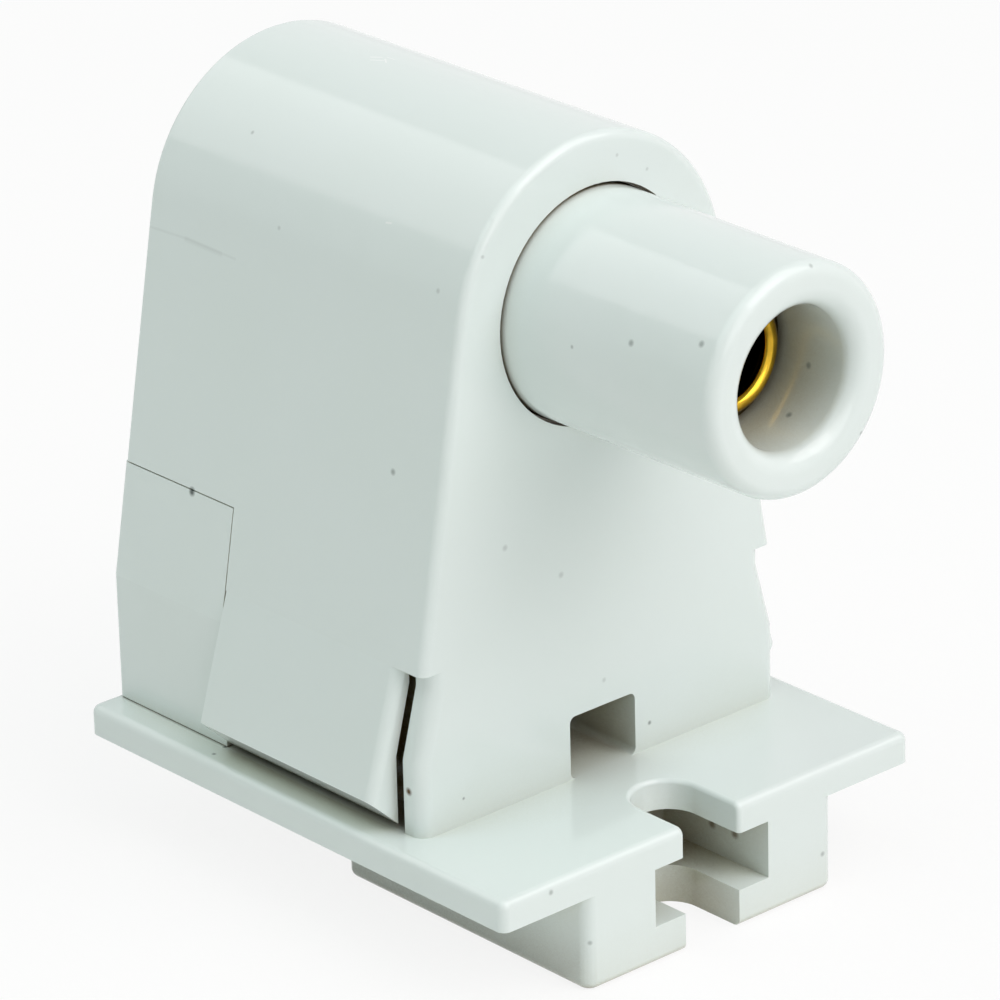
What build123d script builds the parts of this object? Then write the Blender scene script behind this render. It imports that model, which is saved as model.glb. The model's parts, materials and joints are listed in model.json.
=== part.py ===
from build123d import *
from math import acos, atan2, cos, hypot, sin
import os

os.makedirs("parts", exist_ok=True)

# Lamp holder for one end of a fluorescent tube with a single pin. Millimetres.
# +X runs out of the nose along the lamp's axis, +Z is up and y = 0 is the plane of symmetry.
# The origin is under the middle of the whole length, at the underside of the foot.

# Base
flange_length = 38.4
flange_width = 33.2
flange_thickness = 1.95
flange_corner = 0.6
flange_edge = 0.55
foot_length = 21.9
foot_width = 20.2
foot_height = 6.2
foot_corner = 0.8
foot_edge = 0.5

# Screw slot and nut pocket, for a No. 8 screw and its nut
slot_width = 4.4
slot_reach = 3.85
slot_edge = 0.3
pocket_width = 9.25
pocket_depth = 9.2
lip_thickness = 2.45

# Body: an arch over sides that flare out to upright skirts
body_setback = 9.45
axis_height = 29.9
base_inset = 2.1
skirt_height = 8.3
front_wall = 1.83
side_wall = 1.75
body_edge = 0.6
rim_edge = 0.3

# Pillars at the front corners and the snap tabs behind them
shelf_height = 10.35
pillar_waist = 1.2
pillar_neck = 1.1
pillar_knee = 4.8
pillar_round = 0.9
tab_slot = 0.6
tab_flare = 2.1
tab_toe = 2.4
tab_heel = 0.43
tab_edge = 0.7

# Opening at the foot of the front wall
tunnel_width = 5.3
tunnel_height = 4.1
tunnel_corner = 0.45
tunnel_depth = 7.5
tunnel_wall = 1.2

# Inner walls
web_inset = 2.75
web_wall = 1.2
web_overlap = 6.5
deck_wall = 1.2
deck_room = 2.5

# Rear cover
cover_length = 10.57
cover_height = 15.3
cover_wall = 1.7
cover_edge = 0.4
cover_setback = 0.4
rim_setback = 0.15
plate_setback = 0.3
parting_gap = 0.08
latch_width = 3.0
latch_wall = 0.9
latch_hook = 0.7
latch_height = 5.5

# Nose, built out from the bore for the lamp's 8 mm pin
nose_reach = 7.8
mouth_radius = 4.35
mouth_edge = 1.2
mouth_land = 5.4
relief_depth = 0.35
spring_step = 0.95
nose_wall = 1.9
nose_draft = 0.12
nose_tip_edge = 0.85
nose_bore_gap = 0.08
nose_mouth_gap = 0.22
mouth_gap_depth = 0.8
sleeve_length = 3.0
sleeve_wall = 1.9
collar_step = 1.2
collar_length = 1.8
collar_gap = 0.25
collar_room = 0.35

# Contact
contact_setback = 5.95
lip_room = 1.15
lip_roll = 0.5
contact_wall = 0.4
contact_flange = 0.8
contact_tail = 1.8
contact_gap = 0.08
step_setback = 8.9

# Spring, its thin wire given eight sides
wire_radius = 0.35
wire_sides = 8
coil_room = 0.9
coil_turns = 8

# Terminal, wire clip and rivet
strip_thickness = 0.5
strip_width = 5.0
seat_rim = 0.6
spigot_room = 1.0
spigot_length = 3.0
tongue_edge = 2.0
tongue_length = 10.5
backing_height = 9.5
port_radius = 1.4
port_spacing = 8.0
port_offset = 1.7
port_funnel = 0.5
leaf_thickness = 0.3
leaf_base = 3.0
finger_width = 3.4
finger_height = 6.3
finger_gap = 0.7
rivet_radius = 0.9
rivet_head = 1.6
rivet_head_height = 0.5
rivet_offset = 1.2
seat_gap = 0.05

# How near an edge must be to a plane to count as lying in it
near = 0.01

# Radii, half widths and places worked out from the sizes above
relief_radius = mouth_radius + relief_depth
spring_bore = mouth_radius + spring_step
nose_radius = spring_bore + nose_wall
collar_radius = nose_radius + collar_step
body_radius = collar_radius + collar_room + side_wall
lip_radius = mouth_radius - lip_room
coil_radius = spring_bore - coil_room
spigot_radius = coil_radius - spigot_room
seat_radius = coil_radius + seat_rim
tongue_half = port_spacing / 2 + tongue_edge
base_half = flange_width / 2 - base_inset
pillar_half = base_half - pillar_waist
web_half = base_half - web_inset
overall = flange_length + nose_reach
x_tip = overall / 2
x_front = x_tip - nose_reach
x_rear = -overall / 2
x_face = x_front - body_setback
x_wall = x_face - front_wall
x_cover = x_rear + cover_setback
x_rim = x_cover + rim_setback
x_part = x_cover + cover_length
z_under = foot_height
z_top = foot_height + flange_thickness
z_axis = z_top + axis_height
z_shelf = z_top + shelf_height
z_skirt = z_top + skirt_height
z_cover = z_top + cover_height
z_deck = z_axis - collar_radius - collar_gap
flare = acos(body_radius / hypot(base_half, z_axis - z_skirt)) - atan2(z_axis - z_skirt, base_half)


def side_half(z, inset=0.0):
    """Half width of the body's section, moved in by inset, at height z."""
    flared = (body_radius - inset - (z - z_axis) * sin(flare)) / cos(flare)
    return min(base_half - inset, flared)


def arch(x, inset, low):
    """The body's section at x, moved in by inset and standing on z = low."""
    radius = body_radius - inset
    half = base_half - inset
    knee = z_axis + (radius - half * cos(flare)) / sin(flare)
    shoulder = (radius * cos(flare), z_axis + radius * sin(flare))
    right = [(side_half(low, inset), low), shoulder]
    if low < knee:
        right.insert(1, (half, knee))
    left = [(-y, z) for y, z in reversed(right)]
    with BuildSketch(Plane.YZ.offset(x)) as section:
        with BuildLine():
            Polyline(*left, *right)
            ThreePointArc(shoulder, (0, z_axis + radius), left[0])
        make_face()
    return section.sketch


def block(x0, x1, y0, y1, z0, z1):
    """Rectangle x0..x1 by y0..y1 at z0, and the height to extrude it."""
    with BuildSketch(Plane.XY.offset(z0)) as area:
        with Locations(((x0 + x1) / 2, (y0 + y1) / 2)):
            Rectangle(x1 - x0, y1 - y0)
    return area.sketch, z1 - z0


def ring(x, outer, inner=0.0):
    """Round or ring-shaped section about the lamp's axis at x."""
    with BuildSketch(Plane.YZ.offset(x)) as area:
        with Locations((0, z_axis)):
            Circle(outer)
            if inner:
                Circle(inner, mode=Mode.SUBTRACT)
    return area.sketch


# Housing: flange, foot, front wall, arched body and snap tabs in one moulding
def slot_outline(z, width):
    """U-shaped slot, open at the front, in the plane at z."""
    with BuildSketch(Plane.XY.offset(z)) as area:
        with Locations((x_front - slot_reach, 0)):
            Circle(width / 2)
        with Locations((x_front - slot_reach / 2, 0)):
            Rectangle(slot_reach, width)
    return area.sketch


pillar_outline = [
    (base_half, z_top),
    (base_half, z_top + pillar_knee),
    (pillar_half, z_shelf - pillar_neck),
    (pillar_half, z_shelf),
]
tab_lean = (base_half + tab_flare - side_half(z_shelf)) / (shelf_height - tab_toe)
tab_outline = [
    (base_half, z_top + tab_heel),
    (base_half + tab_flare, z_top + tab_toe),
    (side_half(z_shelf) - tab_lean * seat_gap, z_shelf + seat_gap),
    (pillar_half, z_shelf + seat_gap),
    *reversed(pillar_outline[1:]),
]
x_tab = x_wall - tab_slot
x_sleeve = x_wall - sleeve_length
x_deck = x_cover + plate_setback + cover_wall + deck_room
x_chamber = x_part - web_overlap
window_x = x_part - web_overlap / 2
port_x = x_cover + cover_wall + plate_setback + seat_gap + strip_thickness + port_offset
rivet_x = x_part + rivet_offset

with BuildPart() as housing:
    with BuildSketch(Plane.XY.offset(z_under)):
        with Locations((x_front - flange_length / 2, 0)):
            RectangleRounded(flange_length, flange_width, flange_corner)
    extrude(amount=flange_thickness)
    fillet(faces().sort_by(Axis.Z)[-1].edges(), flange_edge)
    with BuildSketch(Plane.XY):
        with Locations((x_front - foot_length / 2, 0)):
            RectangleRounded(foot_length, foot_width, foot_corner)
    extrude(amount=foot_height)
    fillet(faces().sort_by(Axis.Z)[0].edges(), foot_edge)

    # Front wall below the shelf, narrowed to the pillars
    with BuildSketch(Plane.YZ.offset(x_wall)):
        with BuildLine():
            Polyline(*[(-y, z) for y, z in pillar_outline], *reversed(pillar_outline), close=True)
        make_face()
    extrude(amount=front_wall)
    pillar_edges = [
        edge
        for edge in edges().filter_by_position(Axis.X, x_face - near, x_face + near)
        if z_top - near < edge.center().Z < z_shelf - near and abs(edge.center().Y) > pillar_half - near
    ]
    fillet(pillar_edges, pillar_round)

    # Arched body above the shelf
    extrude(arch(x_rim, 0, z_shelf), amount=x_face - x_rim)
    front_rim = [
        edge
        for edge in edges().filter_by_position(Axis.X, x_face - near, x_face + near)
        if edge.center().Z > z_shelf + near
    ]
    fillet(front_rim, body_edge)
    rear_rim = [
        edge
        for edge in edges().filter_by_position(Axis.X, x_rim - near, x_rim + near)
        if edge.center().Z > z_shelf + near
    ]
    fillet(rear_rim, rim_edge)
    extrude(
        arch(x_rear, side_wall, z_shelf + web_wall),
        amount=x_wall - x_rear,
        mode=Mode.SUBTRACT,
    )
    web_face = web_half - web_wall
    area, height = block(x_rear, x_wall, -web_face, web_face, z_shelf, z_shelf + web_wall)
    extrude(area, amount=height, mode=Mode.SUBTRACT)

    # Webs that carry the body on the flange, and the deck under the nose's collar
    for side in (-1, 1):
        low, high = sorted((side * web_face, side * web_half))
        area, height = block(x_chamber, x_wall, low, high, z_top, z_shelf)
        extrude(area, amount=height)
    with BuildSketch(Plane.YZ.offset(x_deck)):
        with Locations((0, z_deck - deck_wall / 2)):
            Rectangle(2 * side_half(z_deck, side_wall) + side_wall, deck_wall)
    extrude(amount=x_wall - x_deck)

    # Room for the rear cover
    area, height = block(x_rear, x_part, -base_half, base_half, z_shelf, z_cover)
    extrude(area, amount=height, mode=Mode.SUBTRACT)

    # Sleeve and bore for the nose
    extrude(ring(x_sleeve, nose_radius + nose_bore_gap + sleeve_wall), amount=sleeve_length)
    extrude(ring(x_sleeve, nose_radius + nose_bore_gap), amount=x_face - x_sleeve, mode=Mode.SUBTRACT)
    extrude(
        ring(x_face - mouth_gap_depth, nose_radius + nose_mouth_gap),
        amount=mouth_gap_depth,
        mode=Mode.SUBTRACT,
    )

    # Snap tabs, hung from the shelf beside the pillars
    for side in (-1, 1):
        with BuildPart(mode=Mode.PRIVATE) as tab:
            with BuildSketch(Plane.YZ.offset(x_part + parting_gap)):
                with BuildLine():
                    Polyline(*[(side * y, z) for y, z in tab_outline], close=True)
                make_face()
            extrude(amount=x_tab - x_part - parting_gap)
            middle = (x_tab, side * (side_half(z_shelf) + base_half + tab_flare) / 2, z_shelf - shelf_height / 3)
            fillet(edges().sort_by_distance(middle)[0], tab_edge)
        add(tab.part)

    # Tunnel at the foot of the front wall
    tunnel_half = tunnel_width / 2
    area, height = block(
        x_face - tunnel_depth,
        x_wall,
        -tunnel_half - tunnel_wall,
        tunnel_half + tunnel_wall,
        z_top,
        z_top + tunnel_height + tunnel_wall,
    )
    extrude(area, amount=height)
    with BuildSketch(Plane.YZ.offset(x_face)):
        with Locations((0, z_top + tunnel_height / 2)):
            Rectangle(tunnel_width, tunnel_height)
        fillet(vertices().group_by(Axis.Z)[-1], tunnel_corner)
    extrude(amount=-tunnel_depth, mode=Mode.SUBTRACT)

    # Nut pocket and screw slot
    area, height = block(
        x_front - pocket_depth,
        x_front,
        -pocket_width / 2,
        pocket_width / 2,
        lip_thickness,
        z_under,
    )
    extrude(area, amount=height, mode=Mode.SUBTRACT)
    extrude(slot_outline(0, slot_width), amount=z_top, mode=Mode.SUBTRACT)
    slot_rim = [
        edge
        for edge in edges().filter_by_position(Axis.Z, z_top - near, z_top + near)
        if edge.center().X > x_front - slot_reach - slot_width / 2 - near
        and abs(edge.center().Y) < slot_width / 2 + near
    ]
    fillet(slot_rim, slot_edge)

    # Wire ports with funnels, latch windows and the rivet's recess
    with BuildSketch(Plane.XY.offset(z_under)):
        with Locations((port_x, 0)):
            with GridLocations(1, port_spacing, 1, 2):
                Circle(port_radius)
    extrude(amount=flange_thickness, mode=Mode.SUBTRACT)
    with BuildSketch(Plane.XY.offset(z_under)):
        with Locations((port_x, 0)):
            with GridLocations(1, port_spacing, 1, 2):
                Circle(port_radius + port_funnel)
    extrude(amount=port_funnel, taper=45, mode=Mode.SUBTRACT)
    with BuildSketch(Plane.XZ.offset(-web_half)):
        with Locations((window_x, z_top + latch_height)):
            Rectangle(latch_width / 2 + 2 * parting_gap, latch_width + 2 * parting_gap)
    extrude(amount=2 * web_half, mode=Mode.SUBTRACT)
    with BuildSketch(Plane.XY.offset(z_top)):
        with Locations((rivet_x, 0)):
            Circle(rivet_head + parting_gap)
    extrude(amount=-rivet_head_height - parting_gap, mode=Mode.SUBTRACT)
housing.part.label = "housing"
export_step(housing.part, "parts/housing.step")


# Rear cover: wings flush with the body, a plate inside the rear rim, the spring's spigot and two latches
x_wing = x_cover + cover_wall
x_plate = x_cover + plate_setback
x_seat = x_plate + cover_wall
wing_top = z_cover - parting_gap
latch_y = web_face - parting_gap

with BuildPart() as rear_cover:
    extrude(arch(x_cover, 0, z_top + parting_gap), amount=cover_length - parting_gap)
    rear_rim = [
        edge
        for edge in edges().filter_by_position(Axis.X, x_cover - near, x_cover + near)
        if edge.center().Z > z_top + parting_gap + near
    ]
    fillet(rear_rim, cover_edge)
    area, height = block(x_cover, x_part, -base_half, base_half, wing_top, z_axis + body_radius)
    extrude(area, amount=height, mode=Mode.SUBTRACT)
    extrude(arch(x_wing, side_wall, z_top), amount=cover_length, mode=Mode.SUBTRACT)
    plate_inset = side_wall + parting_gap
    extrude(arch(x_plate, plate_inset, wing_top - 2 * cover_wall), amount=cover_wall)
    extrude(ring(x_seat, spigot_radius), amount=spigot_length)
    fillet(faces().filter_by(Axis.X).group_by(Axis.X)[-2].edges().filter_by(GeomType.CIRCLE), cover_edge)
    for side in (-1, 1):
        with BuildSketch(Plane.XY.offset(z_top + latch_height - latch_width / 2)):
            with BuildLine():
                tip = window_x + latch_width / 4
                heel = window_x - latch_width / 4 + parting_gap
                Polyline(
                    (x_wing, side * latch_y),
                    (heel, side * latch_y),
                    (heel, side * (latch_y + latch_hook)),
                    (tip, side * latch_y),
                    (tip, side * (latch_y - latch_wall)),
                    (x_wing, side * (latch_y - latch_wall)),
                    close=True,
                )
            make_face()
        extrude(amount=latch_width)
rear_cover.part.label = "rear_cover"
export_step(rear_cover.part, "parts/rear_cover.step")

# Nose: a tapered tube with a collar that stops behind the sleeve
x_collar = x_sleeve - seat_gap
x_nose_rear = x_collar - collar_length
x_step = x_tip - step_setback
x_land = x_tip - mouth_land

with BuildPart() as nose:
    with BuildSketch(Plane.XZ) as profile:
        with BuildLine():
            Polyline(
                (x_nose_rear, z_axis + spring_bore),
                (x_nose_rear, z_axis + collar_radius),
                (x_collar, z_axis + collar_radius),
                (x_collar, z_axis + nose_radius),
                (x_face, z_axis + nose_radius),
                (x_tip, z_axis + nose_radius - nose_draft),
                (x_tip, z_axis + mouth_radius),
                (x_land, z_axis + mouth_radius),
                (x_land, z_axis + relief_radius),
                (x_step, z_axis + relief_radius),
                (x_step, z_axis + spring_bore),
                close=True,
            )
        make_face()
        fillet(vertices().group_by(Axis.X)[-1].sort_by(Axis.Y)[0], mouth_edge)
        fillet(vertices().group_by(Axis.X)[-1].sort_by(Axis.Y)[-1], nose_tip_edge)
    revolve(axis=Axis((0, 0, z_axis), (1, 0, 0)))
nose.part.label = "nose"
export_step(nose.part, "parts/nose.step")

# Contact: a drawn brass eyelet with a rolled lip, a flange that bears on the nose's step and a closed tail
x_lip = x_tip - contact_setback
x_flange = x_step - seat_gap
x_tail = x_flange - contact_flange - contact_tail
barrel_radius = lip_radius + contact_wall / 2

with BuildPart() as contact:
    with BuildSketch(Plane.XZ) as profile:
        with BuildLine():
            Polyline(
                (x_lip, z_axis + barrel_radius - contact_wall),
                (x_lip, z_axis + barrel_radius),
                (x_flange, z_axis + barrel_radius),
                (x_flange, z_axis + spring_bore - contact_gap),
                (x_flange - contact_flange, z_axis + spring_bore - contact_gap),
                (x_flange - contact_flange, z_axis + barrel_radius),
                (x_tail, z_axis + barrel_radius),
                (x_tail, z_axis),
                (x_tail + contact_wall, z_axis),
                (x_tail + contact_wall, z_axis + barrel_radius - contact_wall),
                close=True,
            )
        make_face()
        with Locations((x_lip, z_axis + lip_radius)):
            Circle(lip_roll)
    revolve(axis=Axis((0, 0, z_axis), (1, 0, 0)))
contact.part.label = "contact"
export_step(contact.part, "parts/contact.step")

# Spring: one long compression coil between the terminal and the contact's flange
x_spring_front = x_flange - contact_flange - seat_gap - wire_radius
x_spring_rear = x_seat + seat_gap + strip_thickness + seat_gap + wire_radius
spring_length = x_spring_front - x_spring_rear

with BuildPart() as spring:
    with BuildLine() as path:
        Helix(
            spring_length / coil_turns,
            spring_length,
            coil_radius,
            center=(x_spring_rear, 0, z_axis),
            direction=(1, 0, 0),
        )
    with BuildSketch(Plane(origin=path.line @ 0, z_dir=path.line % 0)):
        RegularPolygon(wire_radius, wire_sides)
    sweep(path=path.line, is_frenet=True)
spring.part.label = "plunger_spring"
export_step(spring.part, "parts/plunger_spring.step")

# Terminal: the spring's seat, a strip down the rear wall and a tongue along the floor
x_strip = x_seat + seat_gap
z_tongue = z_top + seat_gap
with BuildPart() as terminal:
    extrude(ring(x_strip, seat_radius, spigot_radius + parting_gap), amount=strip_thickness)
    z_backing = z_top + backing_height
    z_neck = z_axis - (spigot_radius + seat_radius) / 2
    with BuildSketch(Plane.YZ.offset(x_strip)):
        with Locations((0, (z_backing + z_neck) / 2)):
            Rectangle(strip_width, z_neck - z_backing)
    extrude(amount=strip_thickness)
    with BuildSketch(Plane.XZ):
        with BuildLine():
            Polyline(
                (x_strip, z_tongue),
                (x_strip + tongue_length, z_tongue),
                (x_strip + tongue_length, z_tongue + strip_thickness),
                (x_strip + strip_thickness, z_tongue + strip_thickness),
                (x_strip + strip_thickness, z_backing),
                (x_strip, z_backing),
                close=True,
            )
        make_face()
        corners = vertices().sort_by_distance((x_strip, z_tongue))
        fillet(corners[0], 2 * strip_thickness)
        corners = vertices().sort_by_distance((x_strip + strip_thickness, z_tongue + strip_thickness))
        fillet(corners[0], strip_thickness)
    extrude(amount=tongue_half, both=True)
    with BuildSketch(Plane.XY.offset(z_top)):
        with Locations((port_x, 0)):
            with GridLocations(1, port_spacing, 1, 2):
                Circle(port_radius + parting_gap)
        with Locations((rivet_x, 0)):
            Circle(rivet_radius + seat_gap)
    extrude(amount=2 * strip_thickness, mode=Mode.SUBTRACT)
terminal.part.label = "terminal"
export_step(terminal.part, "parts/terminal.step")

# Wire clip: a bronze leaf with two fingers that lean back to the terminal
z_leaf = z_tongue + strip_thickness + seat_gap
x_bend = rivet_x - leaf_base / 2
finger_tip = x_strip + strip_thickness + finger_gap
with BuildPart() as wire_clip:
    with BuildSketch(Plane.XY.offset(z_leaf)):
        with Locations((rivet_x, 0)):
            Rectangle(leaf_base, 2 * tongue_half)
            Circle(rivet_radius + seat_gap, mode=Mode.SUBTRACT)
    extrude(amount=leaf_thickness)
    with BuildSketch(Plane.XZ) as finger:
        with BuildLine():
            Polyline(
                (x_bend + leaf_thickness, z_leaf + leaf_thickness / 2),
                (x_bend, z_leaf + leaf_thickness / 2),
                (finger_tip, z_leaf + finger_height),
            )
            offset(amount=leaf_thickness / 2, side=Side.BOTH, closed=True)
        make_face()
    for side in (-1, 1):
        extrude(
            finger.sketch.moved(Location((0, side * port_spacing / 2, 0))),
            amount=finger_width / 2,
            both=True,
        )
wire_clip.part.label = "wire_clip"
export_step(wire_clip.part, "parts/wire_clip.step")

# Rivet through the clip and the terminal
with BuildPart() as rivet:
    with BuildSketch(Plane.XY.offset(z_tongue - seat_gap / 2 - rivet_head_height)):
        with Locations((rivet_x, 0)):
            Circle(rivet_head)
    extrude(amount=rivet_head_height)
    with BuildSketch(Plane.XY.offset(z_tongue - seat_gap / 2)):
        with Locations((rivet_x, 0)):
            Circle(rivet_radius)
    extrude(amount=z_leaf + leaf_thickness + seat_gap - z_tongue + seat_gap)
    with BuildSketch(Plane.XY.offset(z_leaf + leaf_thickness + seat_gap)):
        with Locations((rivet_x, 0)):
            Circle(rivet_head)
    extrude(amount=rivet_head_height)
rivet.part.label = "terminal_rivet"
export_step(rivet.part, "parts/terminal_rivet.step")
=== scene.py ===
"""A lamp holder for a single-pin fluorescent tube, on its CAD frame, with its stage."""

import json
import math

import bpy
from mathutils import Matrix, Vector

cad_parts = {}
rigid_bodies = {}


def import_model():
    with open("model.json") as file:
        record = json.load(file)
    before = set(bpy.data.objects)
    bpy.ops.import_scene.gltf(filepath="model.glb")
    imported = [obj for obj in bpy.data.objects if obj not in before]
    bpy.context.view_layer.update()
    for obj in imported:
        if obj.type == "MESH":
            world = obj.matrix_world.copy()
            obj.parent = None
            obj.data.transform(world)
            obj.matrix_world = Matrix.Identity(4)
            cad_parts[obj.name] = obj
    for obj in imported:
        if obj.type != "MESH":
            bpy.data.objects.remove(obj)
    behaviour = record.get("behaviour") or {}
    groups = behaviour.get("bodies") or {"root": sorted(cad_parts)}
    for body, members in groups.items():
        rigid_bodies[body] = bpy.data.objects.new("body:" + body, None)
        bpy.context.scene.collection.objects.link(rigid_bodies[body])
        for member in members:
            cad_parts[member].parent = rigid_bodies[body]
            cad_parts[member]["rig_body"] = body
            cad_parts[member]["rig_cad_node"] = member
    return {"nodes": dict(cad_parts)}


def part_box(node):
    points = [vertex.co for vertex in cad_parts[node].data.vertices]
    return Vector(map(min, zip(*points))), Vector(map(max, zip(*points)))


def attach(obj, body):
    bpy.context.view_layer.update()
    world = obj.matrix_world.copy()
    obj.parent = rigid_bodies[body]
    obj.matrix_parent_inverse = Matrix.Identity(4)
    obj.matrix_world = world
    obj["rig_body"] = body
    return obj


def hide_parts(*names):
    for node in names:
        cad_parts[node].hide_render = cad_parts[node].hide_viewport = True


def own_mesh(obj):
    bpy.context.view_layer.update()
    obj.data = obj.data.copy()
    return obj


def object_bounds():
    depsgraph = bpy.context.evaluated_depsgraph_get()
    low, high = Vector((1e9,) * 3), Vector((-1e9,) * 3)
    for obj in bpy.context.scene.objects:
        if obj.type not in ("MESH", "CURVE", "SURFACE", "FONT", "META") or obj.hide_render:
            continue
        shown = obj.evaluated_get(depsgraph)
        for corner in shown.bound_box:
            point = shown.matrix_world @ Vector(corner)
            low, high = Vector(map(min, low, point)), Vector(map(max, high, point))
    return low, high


bl_info = {
    "name": "Tube Lamp Holder",
    "version": (1, 0, 0),
    "blender": (4, 5, 0),
    "location": "View3D > Sidebar > Lamp Holder",
    "description": "Dresses the CAD model of a sprung lamp holder and sets its stage",
    "category": "Object",
}

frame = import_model()
cad_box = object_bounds()
nodes = frame["nodes"]
MM = 0.001
AXIS_Z = (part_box("nose")[0].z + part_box("nose")[1].z) / 2

# Folds in the CAD nodes' sides that their skins keep sharp, in millimetres
SIDE_Y = 9  # the side walls lie further out than this
FOLD_Z = 16.45  # where the sides turn from upright to sloping
SHELF_Z = 18.5  # where the snap tabs bend out of the sides
ON_FOLD = 0.06  # how near to its height a fold's points lie
REAR_X = -23.1
BODY_X = (REAR_X, 5.0)
COVER_X = (REAR_X, -12.0)
TABS_X = (-12.3, 4.0)

# The seam over the cover's wings, which the photograph shows higher, in millimetres
HOUSING_SEAM_Z = 23.45
COVER_SEAM_Z = 23.37
ON_SEAM = 0.03  # how near to its height the seam's points lie
SEAM_RISE = 0.22
SEAM_LEAN = 0.04  # how far the sloping sides lean in over that rise

# The slot before each snap tab, which the photograph shows further forward, in millimetres
SLOT_X = (2.6, 4.1)
SLOT_Z = (8, 19)
SLOT_SHIFT = 0.3

# The end of the mouth's bore, which is moved in behind the contact's lip, in millimetres
MOUTH_END = (5, 6)  # how far behind the nose's tip it lies
MOUTH_REACH = 5  # its points lie within this radius
MOUTH_DEEPER = 1

# A mark is whole within its core and gone past its rim, as shares of its radius or width
SPOT_CORE = 0.4
SPOT_RIM = 1.3
LINE_CORE = 0.3
AO_SAMPLES = 4  # rays that tell how closed in a point is

# Each metal's colour, tarnish and painted hollow shade (nearly black) as sRGB hex, its roughness,
# and how many times its draw lines are squeezed along X, Y and Z
METALS = {
    "drawn_brass_contact": ("#E9BC3C", "#6E4E14", "#0B0804", 0.14, (1.0, 6.0, 6.0)),
    "spring_steel_wire": ("#A9ABAD", "#6E6A66", "#1C1B1A", 0.25, (6.0, 1.0, 1.0)),
    "rolled_brass_terminal": ("#D3AC5A", "#8A6A34", "#20180C", 0.3, (1.0, 8.0, 1.0)),
    "phosphor_bronze_clip": ("#B98A5C", "#6B4A30", "#1C120A", 0.28, (1.0, 8.0, 1.0)),
    "turned_brass_rivet": ("#D3AC5A", "#8A6A34", "#20180C", 0.22, (6.0, 6.0, 1.0)),
}
# Painted shade: behind this X the contact's barrel is painted nearly black
CONTACT_LIP_X = 16.85  # the contact is bright in front of this, in millimetres

WIRE_SIDES = 10
TURN_STEPS = 32  # lengths of wire in one turn of the spring
SKIN_SMOOTH = math.radians(25)  # edges that turn by more stay sharp
WIRE_SMOOTH = math.radians(50)

SENSOR_WIDTH = 36  # in millimetres, as the lens is
CLIP_START = 0.01
LAMPS_FACE = (0, 0, 0.04)  # the point that every lamp is turned to
FLOOR_WIDTH = 4


# Node graphs


def linear(code):
    """An sRGB hex colour as linear RGBA."""
    parts = [int(code[i : i + 2], 16) / 255 for i in (1, 3, 5)]
    return [p / 12.92 if p <= 0.04045 else ((p + 0.055) / 1.055) ** 2.4 for p in parts] + [1.0]


def add(tree, kind, inputs=None, **settings):
    """Add a node with its settings. An input is a value, or the socket that feeds it."""
    made = tree.nodes.new(kind)
    for name, value in settings.items():
        setattr(made, name, value)
    for key, value in (inputs or {}).items():
        if isinstance(value, bpy.types.NodeSocket):
            tree.links.new(value, made.inputs[key])
        else:
            made.inputs[key].default_value = value
    return made


def new_material(name):
    """An empty material's tree and the Object coordinates its patterns read."""
    material = bpy.data.materials.new(name)
    material.use_nodes = True
    tree = material.node_tree
    tree.nodes.clear()
    return material, tree, add(tree, "ShaderNodeTexCoord").outputs["Object"]


def spots(tree, place, marks):
    """How much of the soft spots (point, radius, strength) in millimetres shows here."""
    inside = 0.0
    for point, radius, strength in marks:
        centre = [p * MM for p in point]
        gap = add(tree, "ShaderNodeVectorMath", {0: place, 1: centre}, operation="DISTANCE")
        ends = {"From Min": radius * SPOT_CORE * MM, "From Max": radius * SPOT_RIM * MM}
        reach = {"Value": gap.outputs["Value"], **ends, "To Min": strength, "To Max": 0.0}
        near = add(tree, "ShaderNodeMapRange", reach).outputs[0]
        inside = add(tree, "ShaderNodeMath", {0: near, 1: inside}, operation="MAXIMUM").outputs[0]
    return inside


def line(tree, place, points, width, strength):
    """Strength along the run of points in millimetres, fading to 0 at width from it."""
    inside = 0.0
    for start, end in zip(points, points[1:]):
        first, run = Vector(start) * MM, (Vector(end) - Vector(start)) * MM
        both = {0: place, 1: first}
        offset = add(tree, "ShaderNodeVectorMath", both, operation="SUBTRACT").outputs[0]
        both = {0: offset, 1: run / run.length_squared}
        along = add(tree, "ShaderNodeVectorMath", both, operation="DOT_PRODUCT").outputs["Value"]
        held = add(tree, "ShaderNodeClamp", {"Value": along}).outputs[0]
        foot = add(tree, "ShaderNodeVectorMath", {0: run, "Scale": held}, operation="SCALE")
        both = {0: offset, 1: foot.outputs[0]}
        gap = add(tree, "ShaderNodeVectorMath", both, operation="DISTANCE").outputs["Value"]
        ends = {"From Min": width * LINE_CORE * MM, "From Max": width * MM}
        reach = {"Value": gap, **ends, "To Min": strength, "To Max": 0.0}
        near = add(tree, "ShaderNodeMapRange", reach).outputs[0]
        inside = add(tree, "ShaderNodeMath", {0: near, 1: inside}, operation="MAXIMUM").outputs[0]
    return inside


# Finishes


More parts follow.
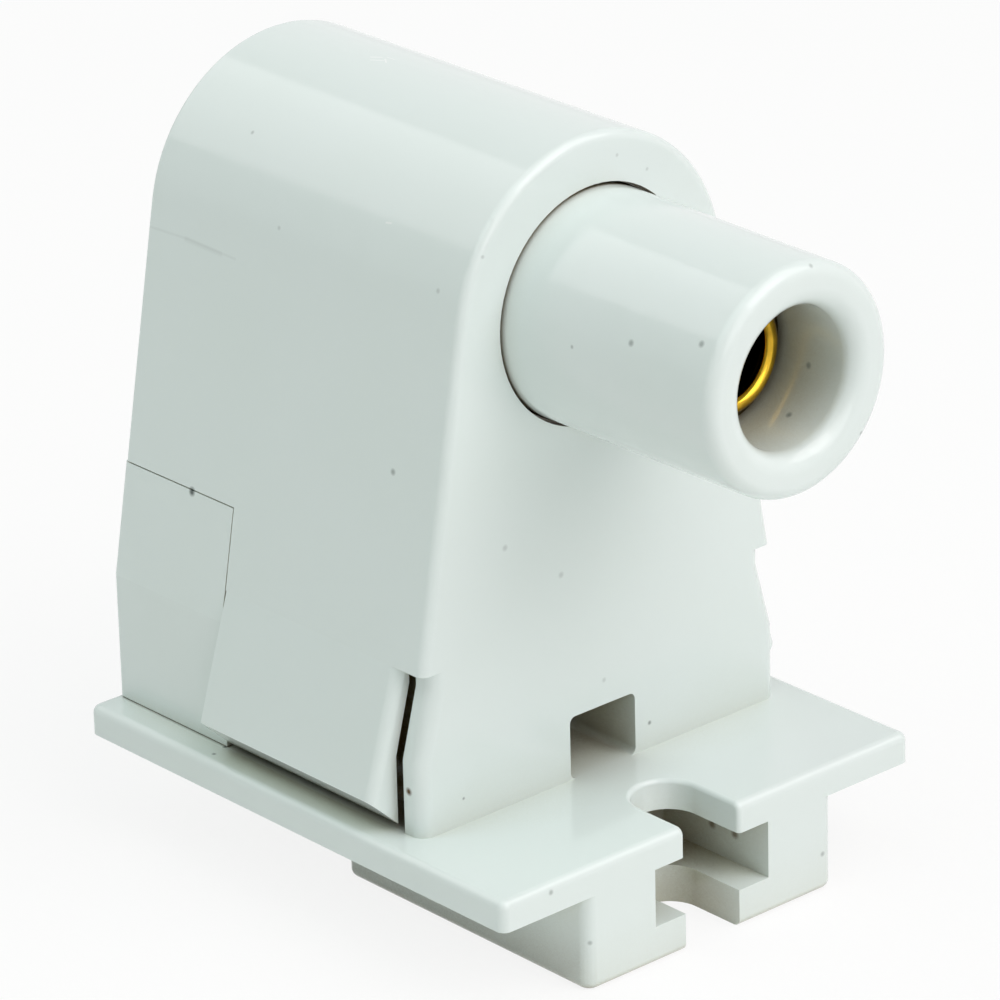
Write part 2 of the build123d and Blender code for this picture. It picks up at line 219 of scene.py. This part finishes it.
def moulded_urea(look, name, dirt=(), rust=(), flow=(), scuffs=()):
    """Compression moulded urea: a hard, cool white body under a glossy skin that shows the lamps
    with crisp edges. Its creases and slots get painted shade, olive to dark brown, by how closed in
    each point is, in place of the warm, dim light that bounces about in them. Dirt and rust are
    spots, and flow lines and scuffs are lines, on this piece alone."""
    material, tree, place = new_material(name)
    noise = {"Vector": place, "Scale": 1 / look.cloud_size, "Detail": 1.0}
    cloud = add(tree, "ShaderNodeTexNoise", noise).outputs["Fac"]
    air = {"Distance": look.crease_shade_reach}
    air = add(tree, "ShaderNodeAmbientOcclusion", air, samples=AO_SAMPLES).outputs["AO"]
    layers = [(cloud, look.urea_shade)]
    # Painted shade: creases go olive and deep slots brown, by how closed in each point is
    for low, high, shade in ((0.08, 0.32, look.crease_shade), (0.02, 0.26, look.deep_crease_shade)):
        reach = {"Value": air, "From Min": low, "From Max": high, "To Min": 1.0, "To Max": 0.0}
        layers.append((add(tree, "ShaderNodeMapRange", reach).outputs[0], shade))
    for marks, shade in ((dirt, look.dirt), (rust, look.rust)):
        if marks:
            layers.append((spots(tree, place, marks), shade))
    for runs, shade in ((flow, look.dirt), (scuffs, look.flash)):
        layers += [(line(tree, place, *run), shade) for run in runs]
    colour = linear(look.urea)
    for share, shade in layers:
        mix = {0: share, 6: colour, 7: linear(shade)}
        colour = add(tree, "ShaderNodeMix", mix, data_type="RGBA").outputs[2]
    noise = {"Vector": place, "Scale": 1 / look.ripple_size, "Detail": 2.0}
    ripple = add(tree, "ShaderNodeTexNoise", noise).outputs["Fac"]
    height = {"Height": ripple, "Strength": look.ripple, "Distance": 0.05 * MM}
    gloss = {"Value": cloud, "To Min": look.gloss_low, "To Max": look.gloss_high}
    surface = {
        "Base Color": colour,
        "Roughness": add(tree, "ShaderNodeMapRange", gloss).outputs[0],
        "IOR": 1.54,
        "Normal": add(tree, "ShaderNodeBump", height).outputs["Normal"],
    }
    shader = add(tree, "ShaderNodeBsdfPrincipled", surface).outputs[0]
    add(tree, "ShaderNodeOutputMaterial", {"Surface": shader})
    return material


def drawn_metal(name, shade_behind_x=-100.0):
    """Metal drawn or rolled to shape: draw lines and a little tarnish on a bright ground, and
    painted shade, nearly black, where it is closed in or behind the X that its second argument
    gives in millimetres. The draw lines are 0.12 mm apart, coarser than real ones, so that they
    show."""
    colour, tarnish, hollow_shade, roughness, grain = METALS[name]
    material, tree, place = new_material(name)
    noise = {"Vector": place, "Scale": 1 / (1.6 * MM), "Detail": 4.0}
    stain = add(tree, "ShaderNodeTexNoise", noise).outputs["Fac"]
    worn = {"Value": stain, "From Min": 0.42, "From Max": 0.75, "To Max": 0.7}
    worn = add(tree, "ShaderNodeMapRange", worn).outputs[0]
    air = {"Distance": 6 * MM}
    air = add(tree, "ShaderNodeAmbientOcclusion", air, samples=AO_SAMPLES).outputs["AO"]
    # Painted shade, nearly black, where the point is closed in or behind the given X
    closed = {"Value": air, "From Min": 0.02, "From Max": 0.3, "To Min": 1.0, "To Max": 0.0}
    closed = add(tree, "ShaderNodeMapRange", closed).outputs[0]
    along = add(tree, "ShaderNodeSeparateXYZ", {"Vector": place}).outputs["X"]
    behind = {"Value": along, "From Min": shade_behind_x * MM, "From Max": (shade_behind_x + 0.15) * MM}
    behind = add(tree, "ShaderNodeMapRange", {**behind, "To Min": 1.0, "To Max": 0.0}).outputs[0]
    dark = add(tree, "ShaderNodeMath", {0: closed, 1: behind}, operation="MAXIMUM").outputs[0]
    shade = linear(colour)
    for share, over in ((worn, tarnish), (dark, hollow_shade)):
        mix = {0: share, 6: shade, 7: linear(over)}
        shade = add(tree, "ShaderNodeMix", mix, data_type="RGBA").outputs[2]
    stretched = add(tree, "ShaderNodeMapping", {"Vector": place, "Scale": grain}).outputs["Vector"]
    noise = {"Vector": stretched, "Scale": 1 / (0.12 * MM), "Detail": 3.0}
    lines = add(tree, "ShaderNodeTexNoise", noise).outputs["Fac"]
    height = {"Height": lines, "Strength": 0.1, "Distance": 0.02 * MM}
    gloss = {"Value": lines, "To Min": roughness * 0.5, "To Max": roughness * 1.5}
    surface = {
        "Base Color": shade,
        "Metallic": 1.0,
        "Roughness": add(tree, "ShaderNodeMapRange", gloss).outputs[0],
        "Normal": add(tree, "ShaderNodeBump", height).outputs["Normal"],
    }
    shader = add(tree, "ShaderNodeBsdfPrincipled", surface).outputs[0]
    add(tree, "ShaderNodeOutputMaterial", {"Surface": shader})
    return material


def seen_directly(tree):
    """1 for rays from the lens and for those that a gloss or clear surface sends on, else 0."""
    path = add(tree, "ShaderNodeLightPath").outputs
    seen = path["Is Camera Ray"]
    for kind in ("Is Glossy Ray", "Is Transmission Ray"):
        seen = add(tree, "ShaderNodeMath", {0: seen, 1: path[kind]}, operation="MAXIMUM").outputs[0]
    return seen


def paper_floor(look):
    """A matt paper sweep, pale and faintly mottled, that shows white to the lens and in gloss."""
    material, tree, place = new_material("paper_sweep_matt")
    noise = {"Vector": place, "Scale": 1 / look.paper_mottle, "Detail": 3.0}
    mottle = add(tree, "ShaderNodeTexNoise", noise).outputs["Fac"]
    mix = {0: mottle, 6: linear(look.paper), 7: linear(look.paper_shade)}
    colour = add(tree, "ShaderNodeMix", mix, data_type="RGBA").outputs[2]
    matt = add(tree, "ShaderNodeBsdfPrincipled", {"Base Color": colour, "Roughness": 0.9})
    white = add(tree, "ShaderNodeEmission", {"Strength": 1.0})
    lift = {0: seen_directly(tree), 1: look.paper_lift}
    share = add(tree, "ShaderNodeMath", lift, operation="MULTIPLY").outputs[0]
    shader = add(tree, "ShaderNodeMixShader", {0: share, 1: matt.outputs[0], 2: white.outputs[0]})
    add(tree, "ShaderNodeOutputMaterial", {"Surface": shader.outputs[0]})
    return material


# Making


def deselect():
    """Leave no object selected."""
    bpy.ops.object.select_all(action="DESELECT")


def pick(piece):
    """Make the piece the only one selected, and active."""
    deselect()
    piece.select_set(True)
    bpy.context.view_layer.objects.active = piece


def fold(piece, height, low, high):
    """Keep the sides' fold at a height sharp between two places along X, all in millimetres."""
    places = [vertex.co / MM for vertex in piece.data.vertices]
    on_fold = [
        abs(place.z - height) < ON_FOLD and low < place.x < high and abs(place.y) > SIDE_Y
        for place in places
    ]
    for edge in piece.data.edges:
        if all(on_fold[i] for i in edge.vertices):
            edge.use_edge_sharp = True


def move(piece, chosen, by):
    """Move the points that chosen picks by their place, all in millimetres."""
    for vertex in piece.data.vertices:
        vertex.select = chosen(vertex.co / MM)
    bpy.ops.object.mode_set(mode="EDIT")
    bpy.ops.mesh.select_mode(type="VERT")
    bpy.ops.transform.translate(value=Vector(by) * MM)
    bpy.ops.mesh.select_all(action="DESELECT")
    bpy.ops.object.mode_set(mode="OBJECT")


def raise_seam(piece, height):
    """Raise the seam over the cover's wings, and lean it in with the sides' slope."""
    for side in (-1, 1):
        move(
            piece,
            lambda place: abs(place.z - height) < ON_SEAM and place.y * side > SIDE_Y,
            (0, -side * SEAM_LEAN, SEAM_RISE),
        )


def paint(piece, material):
    """Give the piece one material in place of all it has."""
    piece.data.materials.clear()
    piece.data.materials.append(material)


def skin_of(name, source, body, material, reshape=None):
    """Skin a CAD node with a piece of its shape, joined and smooth across its curves."""
    piece = nodes[source].copy()
    piece.data = nodes[source].data.copy()
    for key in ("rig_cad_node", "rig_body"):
        if key in piece:
            del piece[key]
    piece.parent = None
    piece.name = name
    bpy.context.scene.collection.objects.link(piece)
    pick(piece)
    bpy.ops.object.mode_set(mode="EDIT")
    bpy.ops.mesh.select_all(action="SELECT")
    bpy.ops.mesh.remove_doubles(threshold=0.001 * MM)
    bpy.ops.mesh.customdata_custom_splitnormals_clear()
    bpy.ops.mesh.select_all(action="DESELECT")
    bpy.ops.object.mode_set(mode="OBJECT")
    if reshape:
        reshape(piece)
    bpy.ops.object.shade_smooth_by_angle(angle=SKIN_SMOOTH)
    even = piece.modifiers.new("even", "WEIGHTED_NORMAL")
    even.weight = 100
    even.keep_sharp = True
    bpy.ops.object.modifier_apply(modifier=even.name)
    paint(piece, material)
    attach(piece, body)
    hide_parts(source)


class UreaLook(bpy.types.PropertyGroup):
    """Colours and scales of the white moulding, and of the painted shade in its creases and slots.
    """

    urea: bpy.props.StringProperty(
        name="Urea", description="Colour of the moulding, sRGB hex", default="#E5EEEC"
    )
    urea_shade: bpy.props.StringProperty(
        name="Cloud", description="Colour of its faint clouds, sRGB hex", default="#E2ECE8"
    )
    # Painted shade: the olive of creases and the brown deep in slots stand in for the dim, warm
    # light there
    crease_shade: bpy.props.StringProperty(
        name="Crease", description="Olive colour of its creases, sRGB hex", default="#A6984E"
    )
    deep_crease_shade: bpy.props.StringProperty(
        name="Deep crease",
        description="Brown colour deep in its slots, sRGB hex",
        default="#745C22",
    )
    dirt: bpy.props.StringProperty(
        name="Dirt", description="Colour of its specks, sRGB hex", default="#59645F"
    )
    rust: bpy.props.StringProperty(
        name="Stain", description="Colour of its brown stains, sRGB hex", default="#5E4526"
    )
    flash: bpy.props.StringProperty(
        name="Scuff", description="Colour of its light scuffs, sRGB hex", default="#F6FAF8"
    )
    cloud_size: bpy.props.FloatProperty(
        name="Cloud size", description="Size of the faint clouds", default=9 * MM, unit="LENGTH"
    )
    # How far the painted shade of creases reaches
    crease_shade_reach: bpy.props.FloatProperty(
        name="Crease reach",
        description="How far walls warm each other",
        default=9 * MM,
        unit="LENGTH",
    )
    ripple_size: bpy.props.FloatProperty(
        name="Ripple size",
        description="Spacing of the skin's ripple",
        default=1.6 * MM,
        unit="LENGTH",
    )
    ripple: bpy.props.FloatProperty(
        name="Ripple", description="Strength of the skin's ripple", default=0.04
    )
    gloss_low: bpy.props.FloatProperty(
        name="Roughness from", description="Where the skin is glossiest", default=0.09
    )
    gloss_high: bpy.props.FloatProperty(
        name="Roughness to", description="Where the skin is dullest", default=0.14
    )


class SpringSizes(bpy.types.PropertyGroup):
    """Sizes of the plunger's spring."""

    wire: bpy.props.FloatProperty(
        name="Wire", description="Radius of the wire", default=0.35 * MM, unit="LENGTH"
    )
    coil: bpy.props.FloatProperty(
        name="Coil", description="Radius to the middle of the wire", default=4.4 * MM, unit="LENGTH"
    )
    end_pitch: bpy.props.FloatProperty(
        name="End pitch",
        description="Pitch of the closed turn at each end",
        default=0.75 * MM,
        unit="LENGTH",
    )
    rear_turns: bpy.props.IntProperty(
        name="Rear turns", description="Open turns the nose squeezes", default=4
    )
    front_turns: bpy.props.IntProperty(
        name="Front turns", description="Open turns the contact squeezes", default=3
    )


class StageLook(bpy.types.PropertyGroup):
    """Camera, lamps and floor."""

    azimuth: bpy.props.FloatProperty(
        name="Azimuth",
        description="Camera's turn about the object",
        default=math.radians(48.8207),
        subtype="ANGLE",
    )
    elevation: bpy.props.FloatProperty(
        name="Elevation",
        description="Camera's height over the horizon",
        default=math.radians(23.1656),
        subtype="ANGLE",
    )
    roll: bpy.props.FloatProperty(
        name="Roll",
        description="Camera's turn about its own axis",
        default=math.radians(-1.465),
        subtype="ANGLE",
    )
    distance: bpy.props.FloatProperty(
        name="Distance",
        description="From the camera to the point it looks at",
        default=367.0756 * MM,
        unit="LENGTH",
    )
    aim: bpy.props.FloatVectorProperty(
        name="Aim",
        description="Point the camera looks at",
        default=(1.6942 * MM, -4.1053 * MM, 25.6089 * MM),
        unit="LENGTH",
    )
    lens: bpy.props.FloatProperty(
        name="Lens", description="Focal length in millimetres", default=223.2293
    )
    key_power: bpy.props.FloatProperty(
        name="Key", description="Power of the key softbox, right", default=4.9, unit="POWER"
    )
    key_place: bpy.props.FloatVectorProperty(
        name="Key place",
        description="Where the key softbox stands",
        default=(0.44, 0.27, 0.78),
        unit="LENGTH",
    )
    front_power: bpy.props.FloatProperty(
        name="Front",
        description="Power of the softbox before the mouth",
        default=3.32,
        unit="POWER",
    )
    front_place: bpy.props.FloatVectorProperty(
        name="Front place", description="Where it stands", default=(0.74, 0.0, 0.56), unit="LENGTH"
    )
    top_power: bpy.props.FloatProperty(
        name="Top", description="Power of the softbox overhead, left", default=2.94, unit="POWER"
    )
    top_place: bpy.props.FloatVectorProperty(
        name="Top place", description="Where it hangs", default=(-0.15, -0.42, 0.82), unit="LENGTH"
    )
    box_size: bpy.props.FloatProperty(
        name="Box size", description="Width of each softbox", default=0.9, unit="LENGTH"
    )
    lamp_colour: bpy.props.StringProperty(
        name="Lamps",
        description="Colour of the key, the front lamp and the panel, sRGB hex",
        default="#FFF9FA",
    )
    fill_colour: bpy.props.StringProperty(
        name="Fill", description="Colour of the top lamp and the room, sRGB hex", default="#F2FFFB"
    )
    panel_power: bpy.props.FloatProperty(
        name="Panel", description="Power of the panel behind, left", default=0.6, unit="POWER"
    )
    panel_low: bpy.props.FloatVectorProperty(
        name="Panel's low end",
        description="Middle of its lower end",
        default=(-0.623, -0.527, 0.42),
        unit="LENGTH",
    )
    panel_high: bpy.props.FloatVectorProperty(
        name="Panel's high end",
        description="Middle of its upper end",
        default=(-0.623, 0.097, 0.683),
        unit="LENGTH",
    )
    panel_width: bpy.props.FloatProperty(
        name="Panel width", description="Its width", default=0.3, unit="LENGTH"
    )
    ambient: bpy.props.FloatProperty(
        name="Ambient", description="Level of the room's light", default=0.135
    )
    paper: bpy.props.StringProperty(
        name="Paper", description="Colour of the sweep, sRGB hex", default="#FAFAF8"
    )
    paper_shade: bpy.props.StringProperty(
        name="Paper shade", description="Colour of its mottle, sRGB hex", default="#F6F7F5"
    )
    paper_mottle: bpy.props.FloatProperty(
        name="Mottle", description="Size of the paper's mottle", default=0.02, unit="LENGTH"
    )
    paper_lift: bpy.props.FloatProperty(
        name="Lift",
        description="How far the paper is lifted to white",
        default=0.85,
        min=0,
        max=1,
        subtype="FACTOR",
    )


class HOLDER_OT_housing(bpy.types.Operator):
    """Skin the housing with its flange, foot, body and snap tabs."""

    bl_idname = "holder.housing"
    bl_label = "Housing"

    def execute(self, context):
        look = context.scene.holder_urea
        dirt = [
            ((1.49, -12.14, 29.75), 0.2, 0.54),
            ((-16.1, -13.24, 23.55), 0.26, 1.0),
            ((-15.75, -7.68, 45.21), 0.13, 0.36),
            ((-10.7, -10.04, 41.11), 0.14, 0.22),
            ((3.56, -10.06, 41.04), 0.16, 0.25),
            ((5.83, -8.57, 43.33), 0.12, 0.29),
            ((5.85, 1.95, 46.8), 0.12, 0.25),
            ((5.85, 4.3, 45.33), 0.12, 0.25),
            ((5.85, -7.45, 24.83), 0.2, 0.25),
            ((5.85, -3.1, 21.75), 0.2, 0.25),
            ((5.85, 0.17, 13.85), 0.16, 0.22),
            ((5.85, 3.82, 9.81), 0.14, 0.65),
            ((5.85, -11.19, 9.84), 0.1, 0.58),
            ((15.3, -12.85, 7.63), 0.17, 0.43),
            ((15.15, -9.76, 3.18), 0.15, 0.43),
            ((15.3, 9.16, 2.45), 0.17, 0.43),
            ((-12.35, -14.55, 8.15), 0.16, 0.72),
            ((-12.06, -15.66, 8.15), 0.14, 0.72),
        ]
        rust = [
            ((4.77, -14.5, 11.04), 0.24, 1.0),
            ((10.41, 4.63, 4.31), 0.3, 0.7),
            ((12.39, 4.63, 4.33), 0.3, 0.7),
        ]
        flow_points = [(-22.23, -10.63, 38.27), (-18.71, -10.6, 38.42), (-14.26, -10.61, 38.34)]
        flow = [
            (flow_points, 0.12, 0.07),
            ([(-18.9, -10.6, 38.36), (-15.6, -10.6, 38.3)], 0.22, 0.08),
        ]
        scuffs = [
            ([(-13.7, 0.0, 48.55), (-13.2, 0.45, 48.55)], 0.09, 0.9),
            ([(-13.3, -0.35, 48.54), (-12.7, 0.1, 48.55)], 0.08, 0.8),
            ([(-12.8, 0.35, 48.55), (-12.3, 0.0, 48.55)], 0.08, 0.8),
            ([(-13.0, 0.7, 48.53), (-12.4, 0.75, 48.52)], 0.07, 0.7),
            ([(-2.1, -9.0, 43.45), (-1.7, -8.96, 43.5)], 0.08, 0.8),
        ]
        urea = moulded_urea(look, "moulded_urea_housing", dirt, rust, flow, scuffs)
        skin_of("housing_moulding", "housing", "holder", urea, self.fold_tabs)
        return {"FINISHED"}

    def fold_tabs(self, housing):
        """Set the seam and the tabs' slots, and keep the folds of the sides and the tabs."""
        raise_seam(housing, HOUSING_SEAM_Z)
        move(
            housing,
            lambda place: SLOT_X[0] < place.x < SLOT_X[1]
            and abs(place.y) > SIDE_Y
            and SLOT_Z[0] < place.z < SLOT_Z[1],
            (SLOT_SHIFT, 0, 0),
        )
        fold(housing, FOLD_Z, *BODY_X)
        fold(housing, SHELF_Z, *TABS_X)


class HOLDER_OT_cover(bpy.types.Operator):
    """Skin the rear cover."""

    bl_idname = "holder.cover"
    bl_label = "Rear cover"

    def execute(self, context):
        dirt = [((-16.1, -13.24, 23.5), 0.26, 1.0)]
        urea = moulded_urea(context.scene.holder_urea, "moulded_urea_cover", dirt)
        skin_of("rear_cover_moulding", "rear_cover", "holder", urea, self.fold_sides)
        return {"FINISHED"}

    def fold_sides(self, cover):
        """Set the seam, and keep the fold where the cover's sides turn upright."""
        raise_seam(cover, COVER_SEAM_Z)
        fold(cover, FOLD_Z, *COVER_X)


class HOLDER_OT_nose(bpy.types.Operator):
    """Skin the sliding nose."""

    bl_idname = "holder.nose"
    bl_label = "Nose"

    def execute(self, context):
        dirt = [
            ((16.23, -6.71, 40.44), 0.2, 0.54),
            ((21.38, -6.1, 41.66), 0.2, 0.54),
            ((11.66, -7.09, 39.02), 0.12, 0.43),
            ((19.37, 4.18, 36.86), 0.2, 0.5),
            ((19.62, 2.36, 34.4), 0.2, 0.58),
            ((22.86, 1.0, 44.8), 0.15, 0.36),
            ((22.95, 4.75, 33.6), 0.16, 0.65),
        ]
        urea = moulded_urea(context.scene.holder_urea, "moulded_urea_nose", dirt)
        skin_of("nose_moulding", "nose", "nose", urea, self.deepen_mouth)
        return {"FINISHED"}

    def deepen_mouth(self, nose):
        """Move the end of the mouth's bore in behind the eyelet's lip, where it does not show."""
        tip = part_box("nose")[1].x / MM
        move(
            nose,
            lambda place: MOUTH_END[0] < tip - place.x < MOUTH_END[1]
            and math.hypot(place.y, place.z - AXIS_Z / MM) < MOUTH_REACH,
            (-MOUTH_DEEPER, 0, 0),
        )


class HOLDER_OT_contact(bpy.types.Operator):
    """Skin the brass eyelet that meets the lamp's pin."""

    bl_idname = "holder.contact"
    bl_label = "Contact"

    def execute(self, context):
        # Painted shade: its barrel goes nearly black behind the lip and where closed in
        brass = drawn_metal("drawn_brass_contact", CONTACT_LIP_X)
        skin_of("contact_eyelet", "contact", "contact", brass)
        return {"FINISHED"}


class HOLDER_OT_spring(bpy.types.Operator):
    """Wind the plunger's spring in two lengths, the rear one carried by the holder and the front
    one by the nose.
    """

    bl_idname = "holder.spring"
    bl_label = "Spring"

    def wind(self, name, sizes, runs, x):
        """Lengths of coil end to end from x, each (turns, pitch), joined into one closed wire."""
        lengths = []
        for turns, pitch in runs:
            deselect()
            bpy.ops.mesh.primitive_circle_add(
                vertices=WIRE_SIDES,
                radius=sizes.wire,
                location=(x, 0, AXIS_Z + sizes.coil),
                rotation=(math.pi / 2, 0, 0),
            )
            length = bpy.context.object
            bpy.ops.object.transform_apply(location=True, rotation=True, scale=True)
            bpy.context.scene.cursor.location = (0, 0, AXIS_Z)
            bpy.ops.object.origin_set(type="ORIGIN_CURSOR")
            screw = length.modifiers.new("turns", "SCREW")
            screw.axis = "X"
            screw.angle = turns * 2 * math.pi
            screw.screw_offset = turns * pitch
            screw.steps = screw.render_steps = turns * TURN_STEPS
            bpy.ops.object.modifier_apply(modifier=screw.name)
            x += turns * pitch
            lengths.append(length)
        deselect()
        for length in lengths:
            length.select_set(True)
        bpy.context.view_layer.objects.active = lengths[0]
        bpy.ops.object.join()
        coil = bpy.context.object
        coil.name = name
        bpy.ops.object.transform_apply(location=True, rotation=True, scale=True)
        bpy.ops.object.mode_set(mode="EDIT")
        bpy.ops.mesh.select_all(action="SELECT")
        bpy.ops.mesh.remove_doubles(threshold=0.01 * MM)
        bpy.ops.mesh.select_all(action="DESELECT")
        bpy.ops.mesh.select_non_manifold(extend=False)
        bpy.ops.mesh.edge_face_add()
        bpy.ops.mesh.select_all(action="SELECT")
        bpy.ops.mesh.normals_make_consistent(inside=False)
        bpy.ops.mesh.select_all(action="DESELECT")
        bpy.ops.object.mode_set(mode="OBJECT")
        bpy.ops.object.shade_smooth_by_angle(angle=WIRE_SMOOTH)
        return coil, x

    def execute(self, context):
        sizes = context.scene.holder_spring
        low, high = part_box("plunger_spring")
        start = low.x + sizes.wire
        turns = sizes.rear_turns + sizes.front_turns
        pitch = (high.x - low.x - 2 * sizes.wire - 2 * sizes.end_pitch) / turns
        steel = drawn_metal("spring_steel_wire")
        closed = (1, sizes.end_pitch)
        runs = [closed, (sizes.rear_turns, pitch)]
        rear, middle = self.wind("plunger_spring_rear", sizes, runs, start)
        runs = [(sizes.front_turns, pitch), closed]
        front, end = self.wind("plunger_spring_front", sizes, runs, middle)
        for piece, body, joint, first, last in (
            (rear, "holder", "nose_slide", start, middle),
            (front, "nose", "contact_slide", middle, end),
        ):
            paint(piece, steel)
            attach(piece, body)
            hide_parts("plunger_spring")
            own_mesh(piece)
        return {"FINISHED"}


class HOLDER_OT_terminal(bpy.types.Operator):
    """Finish the terminal, its wire clip and their rivet."""

    bl_idname = "holder.terminal"
    bl_label = "Terminal, clip and rivet"

    def execute(self, context):
        for name, metal in (
            ("terminal", "rolled_brass_terminal"),
            ("wire_clip", "phosphor_bronze_clip"),
            ("terminal_rivet", "turned_brass_rivet"),
        ):
            paint(nodes[name], drawn_metal(metal))
        return {"FINISHED"}


class HOLDER_OT_stage(bpy.types.Operator):
    """Set the camera, the lamps, the room's light and the floor."""

    bl_idname = "holder.stage"
    bl_label = "Stage"

    def execute(self, context):
        look = context.scene.holder_stage
        a, e, r = look.azimuth, look.elevation, look.roll
        back = Vector((math.sin(a) * math.cos(e), -math.cos(a) * math.cos(e), math.sin(e)))
        side = Matrix.Rotation(r, 3, back) @ Vector((math.cos(a), math.sin(a), 0))
        up = back.cross(side)
        deselect()
        bpy.ops.object.camera_add(location=Vector(look.aim) + back * look.distance)
        camera = bpy.context.object
        camera.name = "camera"
        camera.rotation_euler = Matrix((side, up, back)).transposed().to_euler()
        camera.data.lens = look.lens
        camera.data.sensor_width = SENSOR_WIDTH
        camera.data.clip_start = CLIP_START
        context.scene.camera = camera

        target = Vector(LAMPS_FACE)
        for name, colour in (
            ("key", look.lamp_colour),
            ("front", look.lamp_colour),
            ("top", look.fill_colour),
        ):
            place = Vector(getattr(look, name + "_place"))
            turn = (place - target).to_track_quat("Z", "Y")
            power = getattr(look, name + "_power")
            self.lamp(name + "_softbox", place, turn, colour, power).size = look.box_size

        low, high = Vector(look.panel_low), Vector(look.panel_high)
        place = (low + high) / 2
        along, out = (high - low).normalized(), (place - target).normalized()
        turn = Matrix((along, out.cross(along), out)).transposed()
        panel = self.lamp("panel", place, turn, look.lamp_colour, look.panel_power)
        panel.shape = "RECTANGLE"
        panel.size, panel.size_y = (high - low).length, look.panel_width

        world = bpy.data.worlds.new("white_room")
        context.scene.world = world
        world.use_nodes = True
        tree = world.node_tree
        tree.nodes.clear()
        reach = {"Value": seen_directly(tree), "To Min": look.ambient, "To Max": 1.0}
        level = add(tree, "ShaderNodeMapRange", reach).outputs[0]
        tint = {0: seen_directly(tree), 6: linear(look.fill_colour), 7: linear("#FFFFFF")}
        colour = add(tree, "ShaderNodeMix", tint, data_type="RGBA").outputs[2]
        glow = add(tree, "ShaderNodeBackground", {"Color": colour, "Strength": level})
        add(tree, "ShaderNodeOutputWorld", {"Surface": glow.outputs[0]})

        deselect()
        bpy.ops.mesh.primitive_grid_add(
            x_subdivisions=8, y_subdivisions=8, size=FLOOR_WIDTH, location=(0, 0, cad_box[0].z)
        )
        floor = bpy.context.object
        floor.name = "paper_floor"
        bpy.ops.object.transform_apply(location=True)
        paint(floor, paper_floor(look))
        context.scene.view_settings.view_transform = "Standard"
        return {"FINISHED"}

    def lamp(self, name, place, turn, colour, power):
        """Hang a soft area lamp at place, and give back its settings."""
        deselect()
        bpy.ops.object.light_add(type="AREA", location=place)
        made = bpy.context.object
        made.name = name
        made.rotation_euler = turn.to_euler()
        made.data.energy = power
        made.data.color = linear(colour)[:3]
        return made.data


OPERATORS = (
    HOLDER_OT_stage,
    HOLDER_OT_housing,
    HOLDER_OT_cover,
    HOLDER_OT_nose,
    HOLDER_OT_contact,
    HOLDER_OT_spring,
    HOLDER_OT_terminal,
)


class HOLDER_PT_panel(bpy.types.Panel):
    """The lamp holder's pieces and stage."""

    bl_idname = "HOLDER_PT_panel"
    bl_label = "Lamp Holder"
    bl_space_type = "VIEW_3D"
    bl_region_type = "UI"
    bl_category = "Lamp Holder"

    def draw(self, context):
        for operator in OPERATORS:
            self.layout.operator(operator.bl_idname)
        for key, group in GROUPS.items():
            box = self.layout.box()
            for name in group.__annotations__:
                box.prop(getattr(context.scene, key), name)


GROUPS = {"holder_urea": UreaLook, "holder_spring": SpringSizes, "holder_stage": StageLook}
CLASSES = (*GROUPS.values(), *OPERATORS, HOLDER_PT_panel)


def register():
    for made in CLASSES:
        bpy.utils.register_class(made)
    for name, group in GROUPS.items():
        setattr(bpy.types.Scene, name, bpy.props.PointerProperty(type=group))


def unregister():
    for name in GROUPS:
        delattr(bpy.types.Scene, name)
    for made in reversed(CLASSES):
        bpy.utils.unregister_class(made)


def main():
    register()
    for operator in OPERATORS:
        category, name = operator.bl_idname.split(".")
        getattr(getattr(bpy.ops, category), name)()


if __name__ == "__main__":
    main()
